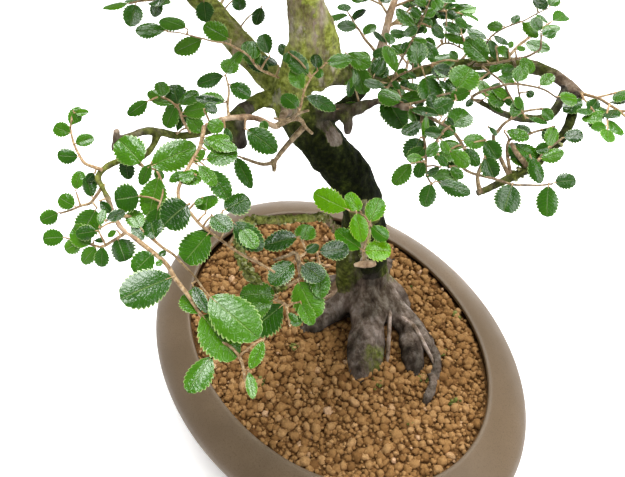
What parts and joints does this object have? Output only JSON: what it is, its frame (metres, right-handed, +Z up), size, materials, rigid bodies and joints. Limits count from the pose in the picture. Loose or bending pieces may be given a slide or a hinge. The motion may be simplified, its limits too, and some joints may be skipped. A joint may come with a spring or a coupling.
{
  "type": "japanese zelkova bonsai with its pot",
  "caption": "Potted bonsai tree with a leaning trunk on spread surface roots, layered branches and small toothed leaves, in an oval unglazed pot of granular soil.",
  "frame": {"origin": "middle of the footprint of the whole object, on the surface that the pot's feet stand on", "axes": "+Z up, X along the pot's long axis, Y along its short axis; the tree's front is seen from +X -Y, 53 degrees round from -Y"},
  "size_m": [0.4214, 0.348, 0.5344],
  "materials": {
    "pot": "satin unglazed grey-brown stoneware",
    "screen": "dull dark mesh",
    "soil": "dry porous tan granules",
    "bark": "rough grey-brown bark with moss",
    "leaf": "satin dark green leaf on a brown twig",
    "new_leaf": "satin lime green leaf on a brown twig"
  },
  "bodies": {
    "root": {"pot": "pot", "screen_left": "screen", "screen_right": "screen", "shoot_back_high_1": "leaf", "shoot_back_high_2": "leaf", "shoot_back_high_3": "leaf", "shoot_back_left_1": "leaf", "shoot_back_left_2": "leaf", "shoot_back_left_3": "leaf", "shoot_back_left_4": "leaf", "shoot_back_left_high_1": "leaf", "shoot_back_left_high_2": "leaf", "shoot_back_low_1": "leaf", "shoot_back_low_2": "leaf", "shoot_back_low_3": "leaf", "shoot_back_right_high_1": "leaf", "shoot_back_right_high_2": "leaf", "shoot_front_high_1": "leaf", "shoot_front_high_2": "leaf", "shoot_front_high_3": "leaf", "shoot_front_right": "leaf", "shoot_front_up": "leaf", "shoot_hanging": "leaf", "shoot_left_cluster": "leaf", "shoot_left_edge": "leaf", "shoot_left_fine": "leaf", "shoot_left_front": "leaf", "shoot_left_high_1": "leaf", "shoot_left_high_2": "leaf", "shoot_left_high_3": "leaf", "shoot_left_outer": "leaf", "shoot_left_second": "leaf", "shoot_left_tall": "leaf", "shoot_left_top_1": "leaf", "shoot_left_upper": "leaf", "shoot_middle_left": "leaf", "shoot_middle_low": "leaf", "shoot_middle_right": "leaf", "shoot_new_shoot": "new_leaf", "shoot_right_arc": "leaf", "shoot_right_back_1": "leaf", "shoot_right_back_2": "leaf", "shoot_right_drop": "leaf", "shoot_right_fork": "leaf", "shoot_right_front_high_1": "leaf", "shoot_right_high_1": "leaf", "shoot_right_high_2": "leaf", "shoot_right_high_3": "leaf", "shoot_right_lower": "leaf", "shoot_right_middle": "leaf", "shoot_right_tan": "leaf", "shoot_right_thin": "leaf", "shoot_right_upright": "leaf", "shoot_trunk_1": "leaf", "shoot_trunk_2": "leaf", "soil": "soil", "wood": "bark"}
  },
  "joints": []
}
